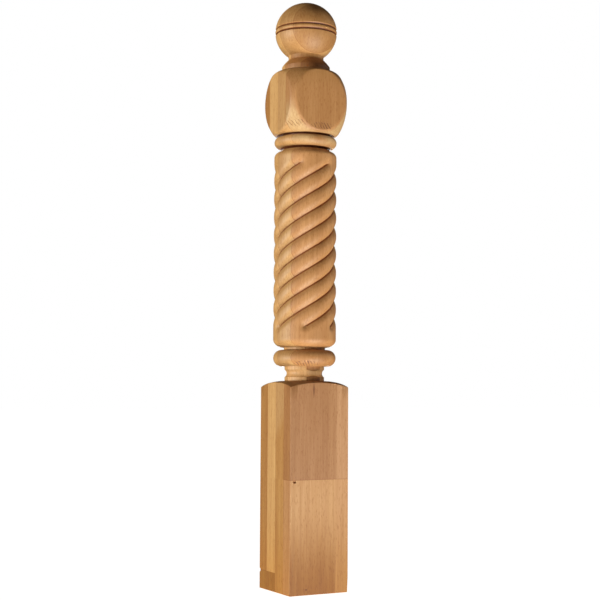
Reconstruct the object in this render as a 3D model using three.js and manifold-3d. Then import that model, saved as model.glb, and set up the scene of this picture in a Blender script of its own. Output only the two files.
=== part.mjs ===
// A laminated beech newel post: square foot block, ring, rope-twist shaft, rail cube and ball top.
// One glued-up blank is turned on its axis, left square at two places and carved with six grooves.
// Millimetres, +Z up, origin at the middle of the underside.

import * as THREE from 'three';
import { mergeVertices } from 'three/addons/utils/BufferGeometryUtils.js';
import Module from 'manifold-3d';

// Blank
const BLANK_WIDTH = 133.4;
const TURNING_RADIUS = 98;
const SPARE_LENGTH = 10;

// Foot block: its top is a turned dome that the four faces cut off in arches
const SHOULDER_CROWN_Z = 425.8;
const SHOULDER_RADIUS = 116.4;

// Lower neck: two fillets with a hollow between them
const NECK_RADIUS = 40.8;
const HOLLOW_LOW_Z = 433.6;
const HOLLOW_HIGH_Z = 449;
const HOLLOW_DEPTH = 4.3;

// Ring
const RING_Z = 472.7;
const RING_RADIUS = 64.5;
const RING_HALF_HEIGHT = 16.9;

// Shaft
const SHAFT_RADIUS = 64.9;
const SHAFT_FOOT_RADIUS = 42.5;
const SHAFT_LOW_Z = 494.4;
const SHAFT_FOOT_ROUND = 17.2;
const SHAFT_HIGH_Z = 901.2;
const SHAFT_HEAD_ROUND = 12.7;

// Rope twist: round-ended V grooves, right-handed, with bowed flanks and softly broken crests
const STRANDS = 6;
const LEAD = 228.6;
const GROOVE_DEPTH = 6.9;
const GROOVE_HALF_WIDTH = 12.8;
const FLANK_BOW = 1.05;
const CREST_SOFTNESS = 0.6;
const GROOVE_LOW_Z = 536.7;
const GROOVE_HIGH_Z = 871.6;
const GROOVE_START_ANGLE = THREE.MathUtils.degToRad(2.7);

// Bead between shaft and cube
const BEAD_Z = 921.3;
const BEAD_RADIUS = 64.8;
const BEAD_LOW_Z = 909.1;
const BEAD_HIGH_Z = 930.9;
const BEAD_HIGH_RADIUS = 57;

// Quirks: deep, narrow V cuts that part the bead from the shaft and from the cube
const LOW_QUIRK_MOUTH_Z = 904.3;
const LOW_QUIRK_RADIUS = 42.5;
const LOW_QUIRK_Z = 907.3;
const HIGH_QUIRK_RADIUS = 47;
const HIGH_QUIRK_Z = 933;

// Rail cube: a swell whose sides stay flat where the blank's faces are reached
const CUBE_Z = 1003.1;
const CUBE_RADIUS = 87.8;
const CUBE_ARC_RADIUS = 110.4;
const CUBE_LOW_ANGLE = THREE.MathUtils.degToRad(-33.6);
const CUBE_HIGH_ANGLE = THREE.MathUtils.degToRad(29.5);
const CUBE_FOOT_ROUND = 17.4;
const CUBE_FOOT_ANGLE = THREE.MathUtils.degToRad(-73.4);
const CUBE_SHOULDER_ROUND = 24.9;

// Collar under the ball
const COLLAR_RADIUS = 50.1;
const COLLAR_EDGE_Z = 1081;
const COLLAR_TOP_RADIUS = 36.7;
const COLLAR_TOP_Z = 1096.1;
const COLLAR_SWELL = 0.7;

// Ball: a little flattened, with a small bead between two grooves round its middle
const BALL_Z = 1155.6;
const BALL_RADIUS = 64.6;
const BALL_HALF_HEIGHT = 62.3;
const BALL_GROOVE_OFFSET = 5.1;
const BALL_GROOVE_DEPTH = 3.2;
const BALL_GROOVE_FLANK = 3;

// Button left on top of the ball where the lathe held the blank
const BUTTON_RADIUS = 10;
const BUTTON_TOP_Z = 1219.2;

// Facets: how far a curve may rise above its flat facets, and how the twist is divided
const FACET_RISE = 0.25;
const COLUMNS_PER_STRAND = 6;
const COLUMNS = STRANDS * COLUMNS_PER_STRAND;
const RINGS_PER_TURN = 28;
const WELD_DISTANCE = 1e-4;

const RIGHT_ANGLE = Math.PI / 2;

function point(radius, z) {
  return new THREE.Vector2(radius, z);
}

// Points along an elliptical arc of the profile, between two angles measured from the radius
function arc(centre, radiusAcross, radiusUp, startAngle, endAngle) {
  const clockwise = endAngle < startAngle;
  const facetAngle = 2 * Math.acos(1 - FACET_RISE / Math.max(radiusAcross, radiusUp));
  const facets = Math.ceil(Math.abs(endAngle - startAngle) / facetAngle);
  const curve = new THREE.EllipseCurve(
    centre.x, centre.y, radiusAcross, radiusUp, startAngle, endAngle, clockwise);
  return curve.getPoints(facets);
}

// Points along a circular arc from one point up to another, swelling outwards by the rise at its middle
// or, where the rise is negative, hollowed inwards
function bow(from, to, rise) {
  const chord = to.clone().sub(from);
  const halfChord = chord.length() / 2;
  const signedRadius = (halfChord ** 2 + rise ** 2) / (2 * rise);
  const outwards = point(chord.y, -chord.x).normalize();
  const middle = from.clone().lerp(to, 0.5);
  const centre = middle.addScaledVector(outwards, rise - signedRadius);
  const middleAngle = outwards.angle() + (rise < 0 ? Math.PI : 0);
  const halfAngle = Math.asin(halfChord / signedRadius);
  const radius = Math.abs(signedRadius);
  return arc(centre, radius, radius, middleAngle - halfAngle, middleAngle + halfAngle);
}

function footBlock() {
  const centre = point(NECK_RADIUS, SHOULDER_CROWN_Z - SHOULDER_RADIUS);
  const rimAngle = Math.acos((TURNING_RADIUS - NECK_RADIUS) / SHOULDER_RADIUS);
  return [
    point(0, 0),
    point(TURNING_RADIUS, 0),
    ...arc(centre, SHOULDER_RADIUS, SHOULDER_RADIUS, rimAngle, RIGHT_ANGLE),
  ];
}

function lowerNeck() {
  const low = point(NECK_RADIUS, HOLLOW_LOW_Z);
  const high = point(NECK_RADIUS, HOLLOW_HIGH_Z);
  return bow(low, high, -HOLLOW_DEPTH);
}

function ring() {
  const centre = point(RING_RADIUS - RING_HALF_HEIGHT, RING_Z);
  return [
    point(NECK_RADIUS, RING_Z - RING_HALF_HEIGHT),
    ...arc(centre, RING_HALF_HEIGHT, RING_HALF_HEIGHT, -RIGHT_ANGLE, RIGHT_ANGLE),
    point(SHAFT_FOOT_RADIUS, RING_Z + RING_HALF_HEIGHT),
  ];
}

// The straight stretch has evenly spaced rings of points for the grooves to be cut into
function shaft() {
  const footCentre = point(SHAFT_FOOT_RADIUS, SHAFT_LOW_Z + SHAFT_FOOT_ROUND);
  const footWidth = SHAFT_RADIUS - SHAFT_FOOT_RADIUS;
  const headCentre = point(SHAFT_RADIUS - SHAFT_HEAD_ROUND, SHAFT_HIGH_Z - SHAFT_HEAD_ROUND);
  const ringStep = LEAD / RINGS_PER_TURN;
  const rings = [];
  for (let z = footCentre.y + ringStep; z < headCentre.y - ringStep / 2; z += ringStep) {
    rings.push(point(SHAFT_RADIUS, z));
  }
  return [
    ...arc(footCentre, footWidth, SHAFT_FOOT_ROUND, -RIGHT_ANGLE, 0),
    ...rings,
    ...arc(headCentre, SHAFT_HEAD_ROUND, SHAFT_HEAD_ROUND, 0, RIGHT_ANGLE),
  ];
}

function bead() {
  const low = point(SHAFT_RADIUS - SHAFT_HEAD_ROUND, BEAD_Z);
  const high = point(BEAD_HIGH_RADIUS, BEAD_Z);
  return [
    point(low.x, LOW_QUIRK_MOUTH_Z),
    point(LOW_QUIRK_RADIUS, LOW_QUIRK_Z),
    ...arc(low, BEAD_RADIUS - low.x, BEAD_Z - BEAD_LOW_Z, -RIGHT_ANGLE, 0),
    ...arc(high, BEAD_RADIUS - high.x, BEAD_HIGH_Z - BEAD_Z, 0, RIGHT_ANGLE).slice(1),
    point(HIGH_QUIRK_RADIUS, HIGH_QUIRK_Z),
  ];
}

// Three arcs that run into one another smoothly: foot rounding, main swell and shoulder
function railCube() {
  const centre = point(CUBE_RADIUS - CUBE_ARC_RADIUS, CUBE_Z);
  const centreOnNormal = (angle, radius) => point(Math.cos(angle), Math.sin(angle))
    .multiplyScalar(CUBE_ARC_RADIUS - radius).add(centre);
  const round = (radius, joinAngle, startAngle, endAngle) => arc(
    centreOnNormal(joinAngle, radius), radius, radius, startAngle, endAngle);
  return [
    ...round(CUBE_FOOT_ROUND, CUBE_LOW_ANGLE, CUBE_FOOT_ANGLE, CUBE_LOW_ANGLE),
    ...round(CUBE_ARC_RADIUS, 0, CUBE_LOW_ANGLE, CUBE_HIGH_ANGLE).slice(1),
    ...round(CUBE_SHOULDER_ROUND, CUBE_HIGH_ANGLE, CUBE_HIGH_ANGLE, RIGHT_ANGLE).slice(1),
  ];
}

function collar() {
  const foot = point(COLLAR_RADIUS, railCube().at(-1).y);
  const edge = point(COLLAR_RADIUS, COLLAR_EDGE_Z);
  const top = point(COLLAR_TOP_RADIUS, COLLAR_TOP_Z);
  return [foot, ...bow(edge, top, COLLAR_SWELL)];
}

function ball() {
  const centre = point(0, BALL_Z);
  const neckAngle = -Math.acos(COLLAR_TOP_RADIUS / BALL_RADIUS);
  const edgeAngle = Math.asin((BALL_GROOVE_OFFSET + BALL_GROOVE_FLANK) / BALL_HALF_HEIGHT);
  const grooveRadius = BALL_RADIUS - BALL_GROOVE_DEPTH;
  const lowGroove = point(grooveRadius, BALL_Z - BALL_GROOVE_OFFSET);
  const highGroove = point(grooveRadius, BALL_Z + BALL_GROOVE_OFFSET);
  const buttonAngle = Math.acos(BUTTON_RADIUS / BALL_RADIUS);
  const buttonFoot = point(0, BALL_Z + BALL_HALF_HEIGHT * Math.sin(buttonAngle));
  return [
    ...arc(centre, BALL_RADIUS, BALL_HALF_HEIGHT, neckAngle, -edgeAngle),
    ...bow(lowGroove, highGroove, BALL_GROOVE_DEPTH),
    ...arc(centre, BALL_RADIUS, BALL_HALF_HEIGHT, edgeAngle, buttonAngle),
    ...arc(buttonFoot, BUTTON_RADIUS, BUTTON_TOP_Z - buttonFoot.y, 0, RIGHT_ANGLE),
  ];
}

// Distance from a spot on the unrolled shaft to the nearest groove line, its round ends included
function grooveDistance(angle, z) {
  const climb = Math.atan2(LEAD, 2 * Math.PI * SHAFT_RADIUS);
  const level = THREE.MathUtils.clamp(z, GROOVE_LOW_Z, GROOVE_HIGH_Z);
  const pitch = 2 * Math.PI / STRANDS;
  const turned = angle - GROOVE_START_ANGLE - twist(level);
  const offset = turned - pitch * Math.round(turned / pitch);
  const lowEnd = (GROOVE_LOW_Z - level) / Math.sin(climb);
  const highEnd = (GROOVE_HIGH_Z - level) / Math.sin(climb);
  const distances = [-pitch, 0, pitch].map((neighbour) => {
    const across = (offset + neighbour) * SHAFT_RADIUS;
    const along = across * Math.cos(climb) + (z - level) * Math.sin(climb);
    const aside = (z - level) * Math.cos(climb) - across * Math.sin(climb);
    return Math.hypot(along - THREE.MathUtils.clamp(along, lowEnd, highEnd), aside);
  });
  return Math.min(...distances);
}

// A flank that bows outwards, steepest at the bottom of the groove, and breaks softly into the crest
function grooveCut(distance) {
  const share = distance / GROOVE_HALF_WIDTH;
  const onFlank = Math.min(share, 1);
  const flank = GROOVE_DEPTH * (1 - share) - 4 * FLANK_BOW * onFlank * (1 - onFlank);
  return (flank + Math.hypot(flank, CREST_SOFTNESS)) / 2;
}

function twist(z) {
  return 2 * Math.PI * (z - GROOVE_LOW_Z) / LEAD;
}

// Turn the profile, then wind the columns along the grooves and cut the grooves in
function turnedPost() {
  const profile = [
    ...footBlock(), ...lowerNeck(), ...ring(), ...shaft(), ...bead(), ...railCube(), ...collar(), ...ball(),
  ];
  const shaftStart = SHAFT_LOW_Z + SHAFT_FOOT_ROUND;
  const shaftEnd = SHAFT_HIGH_Z - SHAFT_HEAD_ROUND;
  const geometry = new THREE.LatheGeometry(profile, COLUMNS);
  geometry.rotateX(RIGHT_ANGLE);
  const vertices = geometry.attributes.position;
  for (let i = 0; i < vertices.count; i += 1) {
    const z = vertices.getZ(i);
    const level = THREE.MathUtils.clamp(z, shaftStart, shaftEnd);
    const angle = Math.atan2(vertices.getY(i), vertices.getX(i)) + GROOVE_START_ANGLE + twist(level);
    const onShaft = z >= shaftStart && z <= shaftEnd;
    const cut = onShaft ? grooveCut(grooveDistance(angle, z)) : 0;
    const radius = Math.hypot(vertices.getX(i), vertices.getY(i)) - cut;
    vertices.setXY(i, radius * Math.cos(angle), radius * Math.sin(angle));
  }
  return geometry;
}

const wasm = await Module();
wasm.setup();

function toSolid(geometry) {
  geometry.deleteAttribute('normal');
  geometry.deleteAttribute('uv');
  const merged = mergeVertices(geometry, WELD_DISTANCE);
  const vertProperties = new Float32Array(merged.attributes.position.array);
  const triVerts = new Uint32Array(merged.index.array);
  return new wasm.Manifold(new wasm.Mesh({ numProp: 3, vertProperties, triVerts }));
}

function toGeometry(solid) {
  const mesh = solid.getMesh();
  const geometry = new THREE.BufferGeometry();
  geometry.setAttribute('position', new THREE.BufferAttribute(new Float32Array(mesh.vertProperties), 3));
  geometry.setIndex(new THREE.BufferAttribute(new Uint32Array(mesh.triVerts), 1));
  geometry.computeVertexNormals();
  return geometry;
}

// The four faces of the blank bound the block and leave the cube its flats
function squareBlank() {
  const length = BUTTON_TOP_Z + 2 * SPARE_LENGTH;
  const geometry = new THREE.BoxGeometry(BLANK_WIDTH, BLANK_WIDTH, length);
  return geometry.translate(0, 0, length / 2 - SPARE_LENGTH);
}

const postSolid = toSolid(turnedPost()).intersect(toSolid(squareBlank()));
const beech = new THREE.MeshStandardMaterial({ color: '#c08a58', roughness: 0.6, metalness: 0 });
const post = new THREE.Mesh(toGeometry(postSolid), beech);
post.name = 'newel_post';

const newel = new THREE.Group();
newel.add(post);

export default newel;
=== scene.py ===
# %% [markdown]
# # A laminated beech newel post
# The post stands at the end of a stair rail: a square foot block, a ring, a rope-twist shaft, a rail
# cube with flat sides and a ball on top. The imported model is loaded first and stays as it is. It is
# the frame: every mesh below is made in the same place and at the same size.

# %% Load the frame
import math

import bpy
import numpy as np
from mathutils import Matrix, Vector


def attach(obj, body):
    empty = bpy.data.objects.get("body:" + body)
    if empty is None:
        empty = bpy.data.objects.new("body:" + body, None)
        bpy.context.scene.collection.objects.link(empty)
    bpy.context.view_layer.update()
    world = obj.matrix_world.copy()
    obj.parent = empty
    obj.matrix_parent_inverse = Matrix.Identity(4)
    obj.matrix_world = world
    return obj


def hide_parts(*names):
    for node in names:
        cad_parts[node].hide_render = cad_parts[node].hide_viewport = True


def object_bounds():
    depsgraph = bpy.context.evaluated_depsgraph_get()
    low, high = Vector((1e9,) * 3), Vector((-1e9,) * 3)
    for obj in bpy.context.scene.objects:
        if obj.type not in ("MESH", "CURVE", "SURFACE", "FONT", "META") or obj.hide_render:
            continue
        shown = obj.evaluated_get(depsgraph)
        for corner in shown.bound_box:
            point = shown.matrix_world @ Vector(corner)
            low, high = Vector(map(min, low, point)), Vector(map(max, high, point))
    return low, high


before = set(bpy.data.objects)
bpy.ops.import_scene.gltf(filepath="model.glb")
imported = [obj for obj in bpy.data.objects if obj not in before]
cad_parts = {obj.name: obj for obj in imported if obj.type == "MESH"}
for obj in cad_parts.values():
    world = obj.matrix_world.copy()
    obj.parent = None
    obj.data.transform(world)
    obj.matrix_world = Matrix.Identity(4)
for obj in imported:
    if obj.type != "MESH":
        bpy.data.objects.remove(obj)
cad_low, cad_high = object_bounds()
cad_sides = [round(side, 4) for side in cad_high - cad_low]
print("frame box in metres:", cad_sides)

# %% [markdown]
# ## One post, one mesh
# The real post is one glued-up blank, turned on a lathe and then carved, so it is one mesh here too.
# A boolean of a turned body and a square bar would leave long, thin faces that shade badly. Instead
# the surface is built as a net: rows follow the turner's profile from the underside to the ball, and
# columns run round the post. Each row is free to be round, square or carved, and the net stays even.
# Sizes are in millimetres, as a turner would note them, and turn into metres at the very end.

# %% The net
COLUMNS = 240
COLUMN_ANGLE = 2 * math.pi / COLUMNS
MM = 0.001
RIGHT_ANGLE = math.pi / 2

column_angles = np.arange(COLUMNS) * COLUMN_ANGLE
rows = []


def add_row(radius, angle, height):
    """Adds one row of points: radius and angle about the axis, and height, one for each column."""
    radius = np.broadcast_to(radius, COLUMNS)
    height = np.broadcast_to(height, COLUMNS)
    rows.append(np.column_stack([radius * np.cos(angle), radius * np.sin(angle), height]))


def arc(centre, across, up, start, end, steps):
    """Points (radius, height) along an elliptical arc between two angles measured from the radius."""
    angle = np.linspace(start, end, steps + 1)
    return np.column_stack([centre[0] + across * np.cos(angle), centre[1] + up * np.sin(angle)])


def bow(low, high, rise, steps):
    """A circular arc between two points that swells out by the rise, or in where it is negative."""
    low, high = np.array(low), np.array(high)
    chord = high - low
    half = np.hypot(*chord) / 2
    radius = (half**2 + rise**2) / (2 * rise)
    outwards = np.array([chord[1], -chord[0]]) / (2 * half)
    centre = (low + high) / 2 + outwards * (rise - radius)
    middle = math.atan2(outwards[1], outwards[0]) + (math.pi if rise < 0 else 0)
    spread = math.asin(half / radius)
    return arc(centre, abs(radius), abs(radius), middle - spread, middle + spread, steps)


print("columns round the post:", COLUMNS)

# %% [markdown]
# ## The square foot block
# The block is what the turner leaves of the planed blank. Its four long edges, the arrises, are only
# eased with paper, so they are drawn as small arcs. Columns crowd towards the corners, where the arc
# needs them. One corner is worn rounder near the floor, and the block's top is a shallow dome that the
# four faces cut off in arches, so each column climbs to its own height on the dome.

# %% Outline of the block
HALF_WIDTH = 66.7
ARRIS = 1.3
DOME_CROWN = 425.8
DOME_RADIUS = 116.4
NECK_RADIUS = 40.8
WORN_CORNER = math.radians(-45)
WORN_HEIGHT = 34
WORN_ARRIS = 4


def turn_difference(angle, other):
    """The angle from one direction to another, between minus and plus half a turn."""
    return (angle - other + math.pi) % (2 * math.pi) - math.pi


def smooth_step(value, low, high):
    """Runs softly from 0 at low to 1 at high."""
    share = np.clip((value - low) / (high - low), 0, 1)
    return share * share * (3 - 2 * share)


def dome_height(radius):
    return DOME_CROWN - DOME_RADIUS + np.sqrt(DOME_RADIUS**2 - (radius - NECK_RADIUS) ** 2)


def block_outline(height):
    """Radius and angle of each column on the square with rounded corners at that height."""
    face = np.round(column_angles / RIGHT_ANGLE) * RIGHT_ANGLE
    from_face = column_angles - face
    near_worn = np.abs(turn_difference(column_angles, WORN_CORNER)) < RIGHT_ANGLE / 2
    wear = np.where(near_worn, 1 - smooth_step(height, 0, WORN_HEIGHT), 0)
    arris = ARRIS + (WORN_ARRIS - ARRIS) * wear
    straight = HALF_WIDTH - arris
    path = (straight + arris * math.pi / 4) * np.sin(2 * np.abs(from_face))
    bend = np.maximum(0, path - straight) / arris
    along = (np.minimum(path, straight) + arris * np.sin(bend)) * np.sign(from_face)
    out = straight + arris * np.cos(bend)
    return np.hypot(along, out), face + np.arctan2(along, out)


corner_radius = block_outline(DOME_CROWN / 2)[0].max()
print("corner radius of the block:", round(corner_radius, 1), "mm")

# %% [markdown]
# Two small faults sit on the block: a chip out of one arris near the floor and a gap beside the butt
# joint on the front face. They are cut into the net itself, so that light and shade find them. Extra
# rows are placed at their heights.

# %% Rows of the block
BOTTOM_EASE = 0.8
ROW_STEP = 18
FINE_STEP = 1.6
FINE_REACH = 7
CHIP_HEIGHT = 37
CHIP_CORNER = math.radians(135)
CHIP_DEPTH = 2.4
CHIP_LENGTH = 4
CHIP_WIDTH = math.radians(2)
GAP_HEIGHT = 224
GAP_ACROSS = -57
GAP_DEPTH = 5
GAP_HALF_LENGTH = 3.2
GAP_HALF_HEIGHT = 1.8


def chip_depth(angle, height):
    beside = turn_difference(angle, CHIP_CORNER) / CHIP_WIDTH
    along = (height - CHIP_HEIGHT) / CHIP_LENGTH
    return CHIP_DEPTH * np.maximum(0, 1 - beside**2 - along**2)


def gap_depth(radius, angle, height):
    beside = (radius * np.cos(angle) - GAP_ACROSS) / GAP_HALF_LENGTH
    along = (height - GAP_HEIGHT) / GAP_HALF_HEIGHT
    on_front = np.sin(angle) < -math.sin(math.pi / 4)
    return np.where(on_front, GAP_DEPTH * np.maximum(0, 1 - beside**2 - along**2), 0)


def block_levels():
    """Heights of the block's rows: coarse ones all the way, and fine ones where the faults are."""
    levels = set(np.arange(BOTTOM_EASE, DOME_CROWN - ROW_STEP, ROW_STEP))
    for fault in (CHIP_HEIGHT, GAP_HEIGHT):
        levels.update(np.arange(fault - FINE_REACH, fault + FINE_REACH, FINE_STEP))
    levels.update((WORN_HEIGHT / 4, WORN_HEIGHT / 2))
    return sorted(levels)


radius, angle = block_outline(0)
add_row(radius - BOTTOM_EASE, angle, 0)
for level in block_levels():
    radius, angle = block_outline(level)
    height = level * dome_height(radius) / DOME_CROWN
    dent = chip_depth(angle, height) + gap_depth(radius, angle, height)
    add_row(radius - dent, angle, height)
print("rows on the block:", len(rows))

# %% [markdown]
# The dome starts on the edge of the arches and runs in to the neck. On the way, the columns let go of
# the square's corners and spread out evenly, which the round parts above need.

# %% Rows of the dome
ARCH_EASE = 0.9
DOME_ROWS = 14

radius, angle = block_outline(DOME_CROWN)
add_row(radius, angle, dome_height(radius) - ARCH_EASE)
edge = radius - ARCH_EASE
for share in np.linspace(0, 1, DOME_ROWS + 1):
    radius = edge + (NECK_RADIUS - edge) * share
    add_row(radius, angle + turn_difference(column_angles, angle) * share, dome_height(radius))
print("rows up to the neck:", len(rows))

# %% [markdown]
# ## The turned profile below the shaft
# A neck with a hollow between two fillets carries a half-round ring. Each is a stretch of the profile
# with an arc in it, listed from the bottom up, exactly as the turner cuts them.

# %% Neck and ring
HOLLOW_LOW = 433.6
HOLLOW_HIGH = 449
HOLLOW_DEPTH = 4.3
RING_HEIGHT = 472.7
RING_RADIUS = 64.5
RING_ROUND = 16.9
SHAFT_FOOT_RADIUS = 42.5
SHAFT_LOW = 494.4


def filled(points, step):
    """The same polyline with points added, so that none lie further apart than the step."""
    out = [points[0]]
    for low, high in zip(points, points[1:]):
        pieces = max(1, math.ceil(np.hypot(*(high - low)) / step))
        out.extend(low + (high - low) * share for share in np.linspace(0, 1, pieces + 1)[1:])
    return np.array(out)


ring_foot = (RING_RADIUS - RING_ROUND, RING_HEIGHT)
neck_and_ring = np.vstack([
    bow((NECK_RADIUS, HOLLOW_LOW), (NECK_RADIUS, HOLLOW_HIGH), -HOLLOW_DEPTH, steps=10),
    [(NECK_RADIUS, RING_HEIGHT - RING_ROUND)],
    arc(ring_foot, RING_ROUND, RING_ROUND, -RIGHT_ANGLE, RIGHT_ANGLE, steps=28),
    [(SHAFT_FOOT_RADIUS, RING_HEIGHT + RING_ROUND)],
    [(SHAFT_FOOT_RADIUS, SHAFT_LOW)],
])
neck_and_ring = filled(neck_and_ring, step=4)
for radius, height in neck_and_ring:
    add_row(radius, column_angles, height)
print("rows up to the shaft:", len(rows))

# %% [markdown]
# ## The rope twist
# Six grooves climb round the shaft and part it into strands. Each is a V cut by a carving machine,
# with a round end where the cutter plunged in. Its flanks bow outwards, so each strand looks like
# rope. The columns of the net wind round at the same rate, so that one of them runs along the bottom
# of every groove and the V stays crisp. A displacement texture could not keep that line.

# %% Grooves
SHAFT_RADIUS = 64.9
SHAFT_FOOT_ROUND = 17.2
SHAFT_HIGH = 901.2
SHAFT_HEAD_ROUND = 12.7
STRANDS = 6
STRAND_ANGLE = 2 * math.pi / STRANDS
LEAD = 228.6
GROOVE_DEPTH = 6.9
GROOVE_HALF_WIDTH = 12.8
FLANK_BOW = 1.05
CREST_SOFTNESS = 0.6
GROOVE_LOW = 536.7
GROOVE_HIGH = 871.6
GROOVE_START = math.radians(2.7)


def twist(height):
    return GROOVE_START + 2 * math.pi * (height - GROOVE_LOW) / LEAD


def groove_distance(angle, height):
    """Distance on the unrolled shaft from each point of a row to the nearest groove line."""
    climb = math.atan2(LEAD, 2 * math.pi * SHAFT_RADIUS)
    level = min(max(height, GROOVE_LOW), GROOVE_HIGH)
    turned = angle - twist(level)
    offset = turned - STRAND_ANGLE * np.round(turned / STRAND_ANGLE)
    low_end = (GROOVE_LOW - level) / math.sin(climb)
    high_end = (GROOVE_HIGH - level) / math.sin(climb)
    nearest = np.full(COLUMNS, np.inf)
    for neighbour in (-STRAND_ANGLE, 0, STRAND_ANGLE):
        across = (offset + neighbour) * SHAFT_RADIUS
        along = across * math.cos(climb) + (height - level) * math.sin(climb)
        aside = (height - level) * math.cos(climb) - across * math.sin(climb)
        nearest = np.minimum(nearest, np.hypot(along - np.clip(along, low_end, high_end), aside))
    return nearest


def groove_cut(distance):
    """A flank that bows outwards, steepest at the bottom, and breaks softly into the crest."""
    share = distance / GROOVE_HALF_WIDTH
    on_flank = np.minimum(share, 1)
    flank = GROOVE_DEPTH * (1 - share) - 4 * FLANK_BOW * on_flank * (1 - on_flank)
    return (flank + np.hypot(flank, CREST_SOFTNESS)) / 2


print("lead of the twist:", LEAD, "mm, strands:", STRANDS)

# %% [markdown]
# Below the shaft the columns are straight. Above it they are turned by a whole number of columns, so
# the corners of the rail cube lie on columns, as those of the block do. What is left over at the two
# ends of the shaft is less than half a column, which is too little to show.

# %% Rows of the shaft
SHAFT_STEP = 3.5
END_STEP = 2
END_REACH = 20

groove_start = SHAFT_LOW + SHAFT_FOOT_ROUND
groove_end = SHAFT_HIGH - SHAFT_HEAD_ROUND
whole_columns = round(twist(groove_start) / COLUMN_ANGLE) * COLUMN_ANGLE
final_turn = round((twist(groove_end) - whole_columns) / COLUMN_ANGLE) * COLUMN_ANGLE


def winding(height):
    level = min(max(height, groove_start), groove_end)
    return twist(level) - whole_columns


def shaft_levels():
    """Even rows, closer together where the grooves end."""
    height = groove_start
    while height < groove_end - END_STEP:
        yield height
        to_end = min(abs(height - GROOVE_LOW), abs(height - GROOVE_HIGH))
        height += END_STEP if to_end < END_REACH else SHAFT_STEP
    yield groove_end


foot_centre = (SHAFT_FOOT_RADIUS, groove_start)
foot = arc(foot_centre, SHAFT_RADIUS - SHAFT_FOOT_RADIUS, SHAFT_FOOT_ROUND, -RIGHT_ANGLE, 0, steps=14)
for radius, height in foot[:-1]:
    add_row(radius, column_angles + winding(height), height)
for height in shaft_levels():
    angle = column_angles + winding(height)
    add_row(SHAFT_RADIUS - groove_cut(groove_distance(angle, height)), angle, height)
print("rows up to the head of the shaft:", len(rows))

# %% [markdown]
# ## The rail cube
# The rail cube is a turned swell left flat on four sides, where the handrail meets it. Its outline is
# three arcs that run into each other without a corner: a tight one at the foot, a long one up the side
# and a softer one over the shoulder. The outer arcs get their centres from the long one, so only radii
# and angles have to be given.

# %% Profile of the rail cube
CUBE_HEIGHT = 1003.1
CUBE_RADIUS = 87.8
CUBE_ARC = 110.4
CUBE_LOW_ANGLE = math.radians(-33.6)
CUBE_HIGH_ANGLE = math.radians(29.5)
CUBE_FOOT_ROUND = 17.4
CUBE_FOOT_ANGLE = math.radians(-73.4)
CUBE_SHOULDER_ROUND = 24.9


def cube_round(radius, join_angle, start, end, steps):
    """One arc of the swell. Its centre lies on the main arc's normal, so the arcs join smoothly."""
    reach = CUBE_ARC - radius
    centre = (CUBE_RADIUS - CUBE_ARC + reach * math.cos(join_angle),
              CUBE_HEIGHT + reach * math.sin(join_angle))
    return arc(centre, radius, radius, start, end, steps)


rail_cube = np.vstack([
    cube_round(CUBE_FOOT_ROUND, CUBE_LOW_ANGLE, CUBE_FOOT_ANGLE, CUBE_LOW_ANGLE, steps=7),
    cube_round(CUBE_ARC, 0, CUBE_LOW_ANGLE, CUBE_HIGH_ANGLE, steps=40)[1:],
    cube_round(CUBE_SHOULDER_ROUND, CUBE_HIGH_ANGLE, CUBE_HIGH_ANGLE, RIGHT_ANGLE, steps=12)[1:],
])
cube_foot, cube_top = rail_cube[0, 1], rail_cube[-1, 1]
print("rail cube from", round(cube_foot, 1), "to", round(cube_top, 1), "mm up")

# %% [markdown]
# ## Head of the shaft, bead, collar and ball
# A half-round bead sits under the cube, parted from its neighbours by two narrow cuts that turners
# call quirks. Above the cube a sloping collar carries the ball, which has a small bead between two
# grooves and a low button on top, where the lathe held the blank. All of it is one more stretch of
# the profile, listed from the bottom up.

# %% Profile of the head and the bead
BEAD_HEIGHT = 921.3
BEAD_RADIUS = 64.8
BEAD_LOW = 909.1
BEAD_HIGH = 930.9
BEAD_HIGH_RADIUS = 57
LOW_QUIRK_LIP = (49.5, 904.6)
LOW_QUIRK = (42.5, 907.3)
HIGH_QUIRK_FLOOR = 45

head_radius = SHAFT_RADIUS - SHAFT_HEAD_ROUND
low_round = (BEAD_RADIUS - head_radius, BEAD_HEIGHT - BEAD_LOW)
high_round = (BEAD_RADIUS - BEAD_HIGH_RADIUS, BEAD_HIGH - BEAD_HEIGHT)
head_and_bead = np.vstack([
    arc((head_radius, groove_end), SHAFT_HEAD_ROUND, SHAFT_HEAD_ROUND, 0, RIGHT_ANGLE, steps=10)[1:],
    [LOW_QUIRK_LIP, LOW_QUIRK],
    arc((head_radius, BEAD_HEIGHT), *low_round, -RIGHT_ANGLE, 0, steps=9),
    arc((BEAD_HIGH_RADIUS, BEAD_HEIGHT), *high_round, 0, RIGHT_ANGLE, steps=7)[1:],
    [(HIGH_QUIRK_FLOOR, BEAD_HIGH), (HIGH_QUIRK_FLOOR, cube_foot)],
])
print("the bead stands", round(BEAD_HIGH - BEAD_LOW, 1), "mm high")

# %% Profile of the collar and the ball
COLLAR_RADIUS = 50.1
COLLAR_EDGE = 1081
COLLAR_TOP_RADIUS = 36.7
COLLAR_TOP = 1096.1
COLLAR_SWELL = 0.7
BALL_HEIGHT = 1155.6
BALL_RADIUS = 64.6
BALL_HALF_HEIGHT = 62.3
BALL_GROOVE_OFFSET = 5.1
BALL_GROOVE_DEPTH = 3.2
BALL_GROOVE_FLANK = 3
BUTTON_RADIUS = 10
BUTTON_TOP = 1219.2

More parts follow.
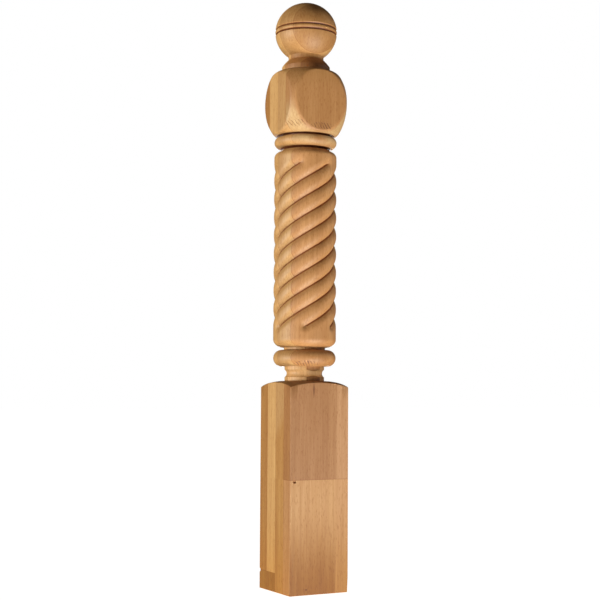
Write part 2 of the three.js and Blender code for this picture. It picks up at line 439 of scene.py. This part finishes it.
neck_angle = -math.acos(COLLAR_TOP_RADIUS / BALL_RADIUS)
edge_angle = math.asin((BALL_GROOVE_OFFSET + BALL_GROOVE_FLANK) / BALL_HALF_HEIGHT)
groove_radius = BALL_RADIUS - BALL_GROOVE_DEPTH
low_groove = (groove_radius, BALL_HEIGHT - BALL_GROOVE_OFFSET)
high_groove = (groove_radius, BALL_HEIGHT + BALL_GROOVE_OFFSET)
ball = ((0, BALL_HEIGHT), BALL_RADIUS, BALL_HALF_HEIGHT)
button_angle = math.acos(BUTTON_RADIUS / BALL_RADIUS)
button_foot = (0, BALL_HEIGHT + BALL_HALF_HEIGHT * math.sin(button_angle))
button = (button_foot, BUTTON_RADIUS, BUTTON_TOP - button_foot[1])
collar_and_ball = np.vstack([
    [(COLLAR_RADIUS, cube_top)],
    bow((COLLAR_RADIUS, COLLAR_EDGE), (COLLAR_TOP_RADIUS, COLLAR_TOP), COLLAR_SWELL, steps=8),
    arc(*ball, neck_angle, -edge_angle, steps=18),
    bow(low_groove, high_groove, BALL_GROOVE_DEPTH, steps=8),
    arc(*ball, edge_angle, button_angle, steps=22),
    arc(*button, 0, RIGHT_ANGLE - COLUMN_ANGLE, steps=8)[1:],
])
print("the button rises", round(BUTTON_TOP - button_foot[1], 1), "mm above the ball")

# %% [markdown]
# The flats are what is left of the planed faces of the blank. A point's radius is the smaller of the
# turned radius and the face's. The edge between the two is rubbed soft on the real post, so they are
# blended over a millimetre or two.

# %% Rows above the twist
FLAT_SOFTNESS = 1.2


def with_flats(radius, angle):
    """The turned radius, or the flat's where that is nearer, with a soft edge between the two."""
    from_face = angle - np.round(angle / RIGHT_ANGLE) * RIGHT_ANGLE
    flat = HALF_WIDTH / np.cos(from_face)
    overlap = np.maximum(FLAT_SOFTNESS - np.abs(radius - flat), 0)
    return np.minimum(radius, flat) - overlap**2 / (4 * FLAT_SOFTNESS)


upper_angles = column_angles + final_turn
upper_profile = filled(np.vstack([head_and_bead, rail_cube, collar_and_ball]), step=5)
for radius, height in upper_profile:
    add_row(with_flats(radius, upper_angles), upper_angles, height)
print("rows in all:", len(rows))

# %% [markdown]
# ## From the net to a mesh
# Neighbouring rows are joined by four-sided faces, and the two ends are closed. The shading is smooth
# except along real edges, which are found by their angle.

# %% Build the mesh
SHARP_ANGLE = math.radians(33)


def net_faces(row_count):
    first = np.arange(COLUMNS)
    second = np.roll(first, -1)
    ring = np.column_stack([first, second, second + COLUMNS, first + COLUMNS])
    bands = [ring + COLUMNS * row for row in range(row_count - 1)]
    return np.vstack(bands).tolist()


points = np.vstack(rows)
underside = list(range(COLUMNS - 1, -1, -1))
top = list(range(len(points) - COLUMNS, len(points)))
faces = net_faces(len(rows)) + [underside, top]
mesh = bpy.data.meshes.new("beech_post")
mesh.from_pydata((points * MM).tolist(), [], faces)
mesh.polygons.foreach_set("use_smooth", [True] * len(mesh.polygons))
mesh.set_sharp_from_angle(angle=SHARP_ANGLE)
mesh.validate()
post = bpy.data.objects.new("beech_post", mesh)
bpy.context.scene.collection.objects.link(post)
print("triangles:", sum(len(face) - 2 for face in faces))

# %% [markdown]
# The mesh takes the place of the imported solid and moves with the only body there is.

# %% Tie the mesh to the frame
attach(post, "root")
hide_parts("newel_post")
print("post rides on:", "root")

# %% [markdown]
# ## Steamed beech, glued up, turned and sanded
# The wood is bare. Steaming turns beech from cream to a warm pinkish brown, and each board keeps its
# own tone, so the block shows stripes where four layers are glued face to face. Short dark flecks run
# with the grain. Sanded wood is dull: it has a broad, weak sheen and no mirror. The boards are slabs
# cut by the lathe, so the pattern is worked out from the place of each point in the wood, not from
# the surface, and it wraps round the turned parts as it does on the real post.

# %% One function for nodes, one for colours
beech = bpy.data.materials.new("steamed_beech_turned_and_sanded")
beech.use_nodes = True
wood = beech.node_tree
wood.nodes.clear()
MIX_A, MIX_B, MIX_OUT = 6, 7, 2


def add_node(tree, kind, inputs, **settings):
    """Adds a node, sets it up, and fills its inputs with values or with links from other nodes."""
    node = tree.nodes.new("ShaderNode" + kind)
    for name, value in settings.items():
        setattr(node, name, value)
    for name, value in inputs.items():
        if isinstance(value, bpy.types.NodeSocket):
            tree.links.new(value, node.inputs[name])
        else:
            node.inputs[name].default_value = value
    return node


def colour(code):
    """Turns an sRGB hex code into the linear numbers that a shader needs."""
    parts = [int(code[start:start + 2], 16) / 255 for start in (1, 3, 5)]
    linear = [part / 12.92 if part <= 0.04045 else ((part + 0.055) / 1.055) ** 2.4 for part in parts]
    return (*linear, 1)


print("a warm tan in linear light:", [round(part, 3) for part in colour("#d7a56b")])

# %% [markdown]
# The Object coordinates give each point's place in metres from the origin, which is the middle of the
# underside. They are turned into millimetres and split into three numbers: across the front, from
# front to back, and up.

# %% Where each point lies in the wood
place = add_node(wood, "TexCoord", {}).outputs["Object"]
in_mm = add_node(wood, "VectorMath", {0: place, "Scale": 1 / MM}, operation="SCALE").outputs[0]
split = add_node(wood, "SeparateXYZ", {0: in_mm}).outputs
across, depth, up = split["X"], split["Y"], split["Z"]
round_angle = add_node(wood, "Math", {0: depth, 1: across}, operation="ARCTAN2").outputs[0]
print("the pattern is measured in mm, from the middle of the underside")

# %% [markdown]
# ### Boards
# Three glue planes, 35 to 37 mm apart, part the blank into four layers. The front layer is two boards
# that meet end to end above the middle of the block, a dark one over a paler one, and both keep a
# strip of sapwood, the outer wood of the tree, on one side. Near the floor the two layers behind end
# in short pieces. A mask says where each of these lies: 0 outside, 1 inside and a ramp between. One
# noise shifts the edge of the sapwood, which is never ruled.

# %% Masks
GLUE_PLANES = (-38.2, -2.8, 34)
JOINT_HEIGHT = 227.8
SHORT_PIECES_HEIGHT = 38
SAPWOOD_EDGE = 39.5
SAPWOOD_BLUR = 5
EDGE = 0.3
SKIN = 2
DRIFT_LENGTH = 140
DRIFT_REACH = 9

drift_place = add_node(wood, "VectorMath", {0: in_mm, "Scale": 1 / DRIFT_LENGTH},
                       operation="SCALE").outputs[0]
drift = add_node(wood, "TexNoise", {"Vector": drift_place, "Scale": 1.0}).outputs["Fac"]
drifted = add_node(wood, "Math", {0: drift, 1: DRIFT_REACH, 2: across}, operation="MULTIPLY_ADD").outputs[0]
sapwood_middle = SAPWOOD_EDGE + DRIFT_REACH / 2
slanted = add_node(wood, "Math", {0: up, 1: depth}).outputs[0]
# Each range is a measure in mm, where on it the mask is 0, and where it is 1.
mask_ranges = {
    "front": (depth, GLUE_PLANES[0] + EDGE, GLUE_PLANES[0] - EDGE),
    "second": (depth, GLUE_PLANES[0] - EDGE, GLUE_PLANES[0] + EDGE),
    "third": (depth, GLUE_PLANES[1] - EDGE, GLUE_PLANES[1] + EDGE),
    "back": (depth, GLUE_PLANES[2] - EDGE, GLUE_PLANES[2] + EDGE),
    "below_joint": (up, JOINT_HEIGHT + EDGE, JOINT_HEIGHT - EDGE),
    "near_floor": (up, SHORT_PIECES_HEIGHT + EDGE, SHORT_PIECES_HEIGHT - EDGE),
    "block": (up, DOME_CROWN + EDGE, DOME_CROWN - EDGE),
    "behind_face": (depth, -HALF_WIDTH + EDGE, -HALF_WIDTH + SKIN),
    "under_cube": (up, 900, 925),
    "below_cube_middle": (up, 1010, 965),
    "ball_and_collar": (up, 1020, 1070),
    "above_cube": (up, 1062, 1080),
    "below_ball": (up, 1112, 1092),
    "above_block": (up, 424, 428),
    "below_ring": (up, 464, 450),
    "above_ring": (up, 488, 498),
    "below_bead": (up, 909, 901),
    "under_skin": (depth, -66, -60),
    "foot": (up, 190, 0),
    "low_second": (slanted, 340, 290),
    "sapwood": (drifted, sapwood_middle - SAPWOOD_BLUR, sapwood_middle + SAPWOOD_BLUR),
}
masks = {}
for name, (value, start, end) in mask_ranges.items():
    masks[name] = add_node(wood, "MapRange", {0: value, 1: start, 2: end},
                           interpolation_type="SMOOTHSTEP").outputs[0]
print("masks:", list(masks))

# %% [markdown]
# The tones are laid over each other like coats, each through its masks. Besides the boards' own tones
# there are changes along the grain: the wood is warmer and darker near the floor. The paler tone round the
# neck and under the rail cube is painted light, and the browner collar is painted shade under the cube.

# %% Tones of the boards
FOOT_WARMTH = "#fff5d8"
FRONT_TONE = "#bb8b55"
coats = [
    (("front", "block"), "#ad7f51"),
    (("front", "above_ring", "below_bead"), "#c1915b"),
    # Painted light on the underside of the rail cube, which faces the lamps below.
    (("front", "under_cube", "below_cube_middle", "under_skin"), "#c9a875"),
    (("front", "ball_and_collar"), "#b1844d"),
    # Painted shade: the collar lies in the shadow of the cube, on this board and the second.
    (("front", "above_cube", "below_ball"), "#a36c36"),
    (("second",), "#c9a067"),
    (("second", "ball_and_collar"), "#c2985e"),
    # Painted shade on the collar, as on the front board.
    (("second", "above_cube", "below_ball"), "#b88449"),
    # Painted light round the neck.
    (("second", "above_block", "below_ring"), "#eac084"),
    (("second", "low_second"), "#c09150"),
    (("third",), "#d9af70"),
    (("back",), "#b48343"),
    (("third", "near_floor"), "#a97b39"),
    (("front", "sapwood", "block"), "#c09467"),
    (("front", "below_joint"), "#ca9f6b"),
    (("front", "below_joint", "foot"), "#9e6d2b"),
    (("front", "below_joint", "sapwood"), "#c59866"),
    (("front", "below_joint", "sapwood", "foot"), "#b5884d"),
    (("front", "block", "behind_face"), "#b07e48"),
    (("front", "below_joint", "behind_face"), "#c1915d"),
]

tone = colour(FRONT_TONE)
for names, code in coats:
    share = masks[names[0]]
    for name in names[1:]:
        share = add_node(wood, "Math", {0: share, 1: masks[name]}, operation="MULTIPLY").outputs[0]
    tone = add_node(wood, "Mix", {0: share, MIX_A: tone, MIX_B: colour(code)},
                    data_type="RGBA").outputs[MIX_OUT]
tone = add_node(wood, "Mix", {0: masks["foot"], MIX_A: tone, MIX_B: colour(FOOT_WARMTH)}, data_type="RGBA",
                blend_type="MULTIPLY").outputs[MIX_OUT]
print("coats of tone:", len(coats))

# %% [markdown]
# ### Grain
# Beech has even, straight grain: broad figure from the growth rings, streaks a few millimetres wide,
# and fine fibres. Its typical mark is the ray, a spindle about 0.1 mm wide and a few millimetres long
# that shows as a dark fleck. Fibres and flecks are too fine for the picture, so both are drawn about
# 2 mm wide. Every noise is stretched along the grain, and each board gets its own stretch of it, so
# the pattern breaks at the glue planes.

# %% Grain
BOARD_SHIFT = 7.3
LAYERS = len(GLUE_PLANES) + 1
# Width and length in mm, the noise values that show dark and pale, and the dark shade.
grain_marks = {
    "figure": (26, 420, 0.3, 0.7, "#f0e8e0"),
    "streak": (5, 160, 0.3, 0.7, "#efe6dc"),
    "fibre": (2, 60, 0.3, 0.7, "#f3ece4"),
    "fleck": (2.2, 9, 0.36, 0.44, "#eee5d9"),
}

layers = add_node(wood, "Math", {0: masks["second"], 1: masks["third"]}).outputs[0]
layers = add_node(wood, "Math", {0: layers, 1: masks["back"]}).outputs[0]
boards = add_node(wood, "Math", {0: masks["below_joint"], 1: LAYERS, 2: layers},
                  operation="MULTIPLY_ADD").outputs[0]
board_shift = add_node(wood, "Math", {0: boards, 1: BOARD_SHIFT}, operation="MULTIPLY").outputs[0]
grain = {}
for name, (width, length, dark, pale, code) in grain_marks.items():
    stretch = (1 / width, 1 / width, 1 / length)
    stretched = add_node(wood, "VectorMath", {0: in_mm, 1: stretch}, operation="MULTIPLY").outputs[0]
    noise = add_node(wood, "TexNoise", {"Vector": stretched, "W": board_shift, "Scale": 1.0, "Detail": 2.0},
                     noise_dimensions="4D").outputs["Fac"]
    grain[name] = add_node(wood, "MapRange", {0: noise, 1: dark, 2: pale}).outputs[0]
    shade = add_node(wood, "Mix", {0: grain[name], MIX_A: colour(code), MIX_B: colour("#ffffff")},
                     data_type="RGBA").outputs[MIX_OUT]
    tone = add_node(wood, "Mix", {0: 1.0, MIX_A: tone, MIX_B: shade}, data_type="RGBA",
                    blend_type="MULTIPLY").outputs[MIX_OUT]
print("grain marks:", list(grain))

# %% [markdown]
# ### Glue lines, grooves and marks
# A glue line is a hair of darker wood. The narrow grooves of the ball, the quirks beside the bead and
# the bottoms of the rope twist are darker too, as painted shade. In the twist the painted line lies a
# little low, on the flank that faces up. A few single marks lie on the front of the block. Each is a
# stain or painted shade: a share from 0 to 1, and a shade that the tone is multiplied by there. They
# are collected in a list and laid on together at the end.

# %% Painted shade in the bottoms of the twist
# Painted shade: a dark line along the bottom of each groove of the twist.
PAINTED_TWIST_SHADOW = "#bf9870"
LINE_DROP = 1
LINE_REACH = (0.45, 0.1)

climb_rate = -2 * math.pi * STRANDS / LEAD
first_groove = -climb_rate * (GROOVE_LOW - LINE_DROP) - STRANDS * GROOVE_START
turned = add_node(wood, "Math", {0: round_angle, 1: STRANDS, 2: first_groove},
                  operation="MULTIPLY_ADD").outputs[0]
groove_phase = add_node(wood, "Math", {0: up, 1: climb_rate, 2: turned}, operation="MULTIPLY_ADD").outputs[0]
groove_wave = add_node(wood, "Math", {0: groove_phase}, operation="COSINE").outputs[0]
bottom = add_node(wood, "MapRange",
                  {0: groove_wave, 1: math.cos(LINE_REACH[0]), 2: math.cos(LINE_REACH[1])}).outputs[0]
twist_span = {0: up, 1: (GROOVE_LOW + GROOVE_HIGH) / 2, 2: (GROOVE_HIGH - GROOVE_LOW) / 2}
on_twist = add_node(wood, "Math", twist_span, operation="COMPARE").outputs[0]
bottom = add_node(wood, "Math", {0: bottom, 1: on_twist}, operation="MULTIPLY").outputs[0]
stains_and_painted_shade = [(bottom, PAINTED_TWIST_SHADOW)]
print("the line lies", LINE_DROP, "mm below the bottom of each groove")

# %% Glue lines and painted shade in the grooves
GLUE_SHADE = "#e0cdbb"
LINE_HALF_WIDTH = 0.5
# Painted shade in the quirks beside the bead and in the grooves of the ball.
PAINTED_GROOVE_SHADOW = "#a67b50"
# Height of the middle of each line and half its width, in mm.
painted_groove_shadows = {
    "quirk_below_bead": (906.8, 2.3),
    "quirk_above_bead": (933, 2.1),
    "low_ball_groove": (BALL_HEIGHT - BALL_GROOVE_OFFSET, 1.7),
    "high_ball_groove": (BALL_HEIGHT + BALL_GROOVE_OFFSET, 1.7),
}

for level in GLUE_PLANES:
    near = add_node(wood, "Math", {0: depth, 1: level, 2: LINE_HALF_WIDTH}, operation="COMPARE").outputs[0]
    stains_and_painted_shade.append((near, GLUE_SHADE))
for level, board in ((JOINT_HEIGHT, "front"), (SHORT_PIECES_HEIGHT, "third")):
    near = add_node(wood, "Math", {0: up, 1: level, 2: LINE_HALF_WIDTH}, operation="COMPARE").outputs[0]
    near = add_node(wood, "Math", {0: near, 1: masks[board]}, operation="MULTIPLY").outputs[0]
    stains_and_painted_shade.append((near, GLUE_SHADE))
for level, half_width in painted_groove_shadows.values():
    near = add_node(wood, "Math", {0: up, 1: level, 2: half_width}, operation="COMPARE").outputs[0]
    stains_and_painted_shade.append((near, PAINTED_GROOVE_SHADOW))
print("lines:", len(stains_and_painted_shade))

# %% Single marks
MARK_SHADE = "#a98463"
MARK_CORE = 0.3
single_marks = {
    "streak_under_arch": ((-13.7, -HALF_WIDTH, 408), (2.2, 6, 19)),
    "spot_near_floor": ((-29.4, -HALF_WIDTH, 10.9), (3, 6, 2.5)),
    "dark_end_of_joint": ((GAP_ACROSS, -HALF_WIDTH, GAP_HEIGHT), (5, 6, 3)),
}


def inside_spot(centre, reach, core, strength=1.0):
    """The share of a point in an egg-shaped spot: full within the core, nothing past the reach."""
    offset = add_node(wood, "VectorMath", {0: in_mm, 1: centre}, operation="SUBTRACT").outputs[0]
    scaled = add_node(wood, "VectorMath", {0: offset, 1: reach}, operation="DIVIDE").outputs[0]
    away = add_node(wood, "VectorMath", {0: scaled}, operation="LENGTH").outputs["Value"]
    return add_node(wood, "MapRange", {0: away, 1: 1.0, 2: core, 4: strength}).outputs[0]


for centre, reach in single_marks.values():
    stains_and_painted_shade.append((inside_spot(centre, reach, MARK_CORE), MARK_SHADE))
print("single marks:", list(single_marks))

# %% [markdown]
# ### Torn grain
# The cutter has torn the grain in three places where it met the wood head on: under the rail cube, at
# the foot of the front flat and under the ring. There the surface carries rows of slanting dark nicks.
# They are the crests of a wave that runs round the post and up it. A noise bends the wave and leaves
# some nicks out, since a ruled row would look printed.

# %% Torn places
TORN_CORE = 0.8
# Centre and reach in mm, and strength.
torn_places = {
    "under_cube": ((-53, -58, 951), (27, 27, 7), 0.7),
    "foot_of_front_flat": ((4, -HALF_WIDTH, 948), (30, 8, 7), 1.0),
    "under_ring": ((-24, -52, 461.5), (32, 22, 6), 1.0),
}

torn = 0.0
for centre, reach, strength in torn_places.values():
    near = inside_spot(centre, reach, TORN_CORE, strength)
    torn = add_node(wood, "Math", {0: near, 1: torn}, operation="MAXIMUM").outputs[0]
print("torn places:", list(torn_places))

# %% Nicks
TORN_SHADE = "#8a5c3c"
NICK_SPACING = 5.4
NICK_SLANT = math.radians(32)
NICK_EDGE = 0.55
WOBBLE_LENGTH = 8
WOBBLE_REACH = 6
BARE_BELOW, FULL_ABOVE = 0.3, 0.45

round_run = 2 * math.pi / NICK_SPACING * math.cos(NICK_SLANT)
up_run = 2 * math.pi / NICK_SPACING * math.sin(NICK_SLANT)
round_phase = add_node(wood, "Math", {0: round_angle, 1: round_run * SHAFT_RADIUS},
                       operation="MULTIPLY").outputs[0]
phase = add_node(wood, "Math", {0: up, 1: up_run, 2: round_phase}, operation="MULTIPLY_ADD").outputs[0]
wobble_place = add_node(wood, "VectorMath", {0: in_mm, "Scale": 1 / WOBBLE_LENGTH},
                        operation="SCALE").outputs[0]
wobble = add_node(wood, "TexNoise", {"Vector": wobble_place, "Scale": 1.0}).outputs["Fac"]
phase = add_node(wood, "Math", {0: wobble, 1: WOBBLE_REACH, 2: phase}, operation="MULTIPLY_ADD").outputs[0]
wave = add_node(wood, "Math", {0: phase}, operation="SINE").outputs[0]
nicks = add_node(wood, "MapRange", {0: wave, 1: NICK_EDGE, 2: 1.0}).outputs[0]
patchy = add_node(wood, "MapRange", {0: wobble, 1: BARE_BELOW, 2: FULL_ABOVE}).outputs[0]
nicks = add_node(wood, "Math", {0: nicks, 1: patchy}, operation="MULTIPLY").outputs[0]
torn = add_node(wood, "Math", {0: torn, 1: nicks}, operation="MULTIPLY").outputs[0]
stains_and_painted_shade.append((torn, TORN_SHADE))
print("nicks every", NICK_SPACING, "mm")

# %% Lay the stains and painted shade on the tone
for share, code in stains_and_painted_shade:
    tone = add_node(wood, "Mix", {0: share, MIX_A: tone, MIX_B: colour(code)}, data_type="RGBA",
                    blend_type="MULTIPLY").outputs[MIX_OUT]
print("stains:", len(stains_and_painted_shade))

# %% [markdown]
# ### Surface
# IOR 1.5 and a roughness a little above 0.5 are usual for sanded timber, which gives a broad, weak
# sheen. Fibres lift the surface a few hundredths of a millimetre and nicks go half a millimetre in,
# which a bump is enough for.

# %% Shader
FIBRE_HEIGHT = 0.04
NICK_DEPTH = -0.5
ROUGH_FIBRE, SMOOTH_FIBRE = 0.62, 0.52

nick_height = add_node(wood, "Math", {0: torn, 1: NICK_DEPTH}, operation="MULTIPLY").outputs[0]
relief = add_node(wood, "Math", {0: grain["fibre"], 1: FIBRE_HEIGHT, 2: nick_height},
                  operation="MULTIPLY_ADD").outputs[0]
bump = add_node(wood, "Bump", {"Height": relief, "Distance": MM, "Strength": 1.0}).outputs["Normal"]
rough = add_node(wood, "MapRange", {0: grain["fibre"], 3: ROUGH_FIBRE, 4: SMOOTH_FIBRE}).outputs[0]
shader = add_node(wood, "BsdfPrincipled",
                  {"Base Color": tone, "Roughness": rough, "IOR": 1.5, "Normal": bump})
add_node(wood, "OutputMaterial", {"Surface": shader.outputs["BSDF"]})
mesh.materials.append(beech)
print("material:", beech.name)

# %% [markdown]
# ## Floor, light and camera
# The table is plain white acrylic. It glows for the camera alone, since a glow that reached the wood
# would wash out the shadows under the ring and the cube. It casts no shadow, so lamps lower than the
# table top can light the post from below.

# %% Floor
FLOOR_SIZE = 40

bpy.ops.mesh.primitive_plane_add(size=FLOOR_SIZE)
floor = bpy.context.object
floor.name = "white_table"
floor.visible_shadow = False
pale = bpy.data.materials.new("white_acrylic_sheet")
pale.use_nodes = True
acrylic = pale.node_tree
acrylic.nodes.clear()
seen = add_node(acrylic, "LightPath", {}).outputs["Is Camera Ray"]
sheet = {"Base Color": colour("#e7e7e7"), "Roughness": 0.8, "Specular IOR Level": 0.0}
glow = {"Emission Color": colour("#ffffff"), "Emission Strength": seen}
table_top = add_node(acrylic, "BsdfPrincipled", {**sheet, **glow}).outputs["BSDF"]
add_node(acrylic, "OutputMaterial", {"Surface": table_top})
floor.data.materials.append(pale)
print("floor:", FLOOR_SIZE, "m across")

# %% [markdown]
# ### Lamps
# The light in the picture comes from below, so every underside is bright and the top of the ball is in
# shade. Three far lamps do that: one low on the left, and two in front, far below the table top. Two
# faint ones fill the side towards the camera and the right, and one stands opposite the camera, for
# views of the back. They are suns, which light the post evenly from foot to ball, and the angle of a
# sun makes its shadows soft. A small lamp on the table brightens the foot.

# %% Far lamps
# Azimuth and elevation in degrees, strength, and softness in degrees.
far_lamps = {
    "lamp_on_the_left": (-95, -6, 3.15, 10),
    "lamp_in_front": (-10, -50, 1.9, 10),
    "lamp_on_the_right": (28, -48, 1.75, 8),
    "lamp_beside_the_camera": (-40, -8, 0.4, 12),
    "sheet_on_the_right": (75, 15, 0.35, 40),
    "lamp_behind": (152, -6, 1.6, 12),
}


def direction(azimuth, elevation=0):
    """A unit vector from the post. Azimuth zero is the side towards minus Y, the front."""
    level = math.cos(elevation)
    return Vector((math.sin(azimuth) * level, -math.cos(azimuth) * level, math.sin(elevation)))


for name, (azimuth, elevation, strength, softness) in far_lamps.items():
    data = bpy.data.lights.new(name, "SUN")
    data.energy = strength
    data.angle = math.radians(softness)
    lamp = bpy.data.objects.new(name, data)
    bpy.context.scene.collection.objects.link(lamp)
    lamp.location = direction(math.radians(azimuth), math.radians(elevation))
    lamp.rotation_euler = lamp.location.to_track_quat("Z", "Y").to_euler()
print("far lamps:", list(far_lamps))

# %% Lamp near the foot
NEAR_AZIMUTH = math.radians(15)
NEAR_DISTANCE = 1.1
NEAR_POWER = 17.5
NEAR_RADIUS = 0.06

near_data = bpy.data.lights.new("lamp_near_the_foot", "POINT")
near_data.energy = NEAR_POWER
near_data.shadow_soft_size = NEAR_RADIUS
near_lamp = bpy.data.objects.new("lamp_near_the_foot", near_data)
bpy.context.scene.collection.objects.link(near_lamp)
near_lamp.location = direction(NEAR_AZIMUTH) * NEAR_DISTANCE
print("near lamp at", [round(value, 2) for value in near_lamp.location])

# %% [markdown]
# ### Room light
# A little warm light from all round keeps the shadows from going black, as light thrown back by other
# wood would. The camera sees plain white instead. The Standard view shows the colours as they come
# from their codes, with no film look on top.

# %% Room light
ROOM_LIGHT = 0.05

world = bpy.data.worlds.new("studio")
world.use_nodes = True
world.node_tree.nodes.clear()
fill = add_node(world.node_tree, "Background",
                {"Color": colour("#ffd59d"), "Strength": ROOM_LIGHT}).outputs[0]
backdrop = add_node(world.node_tree, "Background", {"Color": colour("#ffffff"), "Strength": 1.0}).outputs[0]
seen = add_node(world.node_tree, "LightPath", {}).outputs["Is Camera Ray"]
both = add_node(world.node_tree, "MixShader", {0: seen, 1: fill, 2: backdrop}).outputs[0]
add_node(world.node_tree, "OutputWorld", {"Surface": both})
bpy.context.scene.world = world
bpy.context.scene.view_settings.view_transform = "Standard"
print("room light:", ROOM_LIGHT)

# %% [markdown]
# ### Camera
# The camera stands well back with a long lens, so the lines of the block run together only a little.
# It stands 28 degrees to the left of the front, so that two faces show, a third of the way up the
# post, and looks slightly upwards.

# %% Camera
CAMERA_AZIMUTH = math.radians(-28.26)
CAMERA_DISTANCE = 2.6971
CAMERA_HEIGHT = 0.4116
CAMERA_SIDE_STEP = 0.0097
CAMERA_PITCH = math.radians(3.857)
CAMERA_ROLL = 0.00566
LENS = 78.224
SENSOR_WIDTH = 36

camera_data = bpy.data.cameras.new("camera")
camera_data.lens = LENS
camera_data.sensor_width = SENSOR_WIDTH
camera = bpy.data.objects.new("camera", camera_data)
bpy.context.scene.collection.objects.link(camera)
towards = direction(CAMERA_AZIMUTH)
sideways = Vector((math.cos(CAMERA_AZIMUTH), math.sin(CAMERA_AZIMUTH), 0))
camera.location = towards * CAMERA_DISTANCE - sideways * CAMERA_SIDE_STEP + Vector((0, 0, CAMERA_HEIGHT))
turn = Matrix.Rotation(CAMERA_AZIMUTH, 4, "Z") @ Matrix.Rotation(RIGHT_ANGLE + CAMERA_PITCH, 4, "X")
camera.rotation_euler = (turn @ Matrix.Rotation(CAMERA_ROLL, 4, "Z")).to_euler()
bpy.context.scene.camera = camera
print("camera at", [round(value, 3) for value in camera.location])
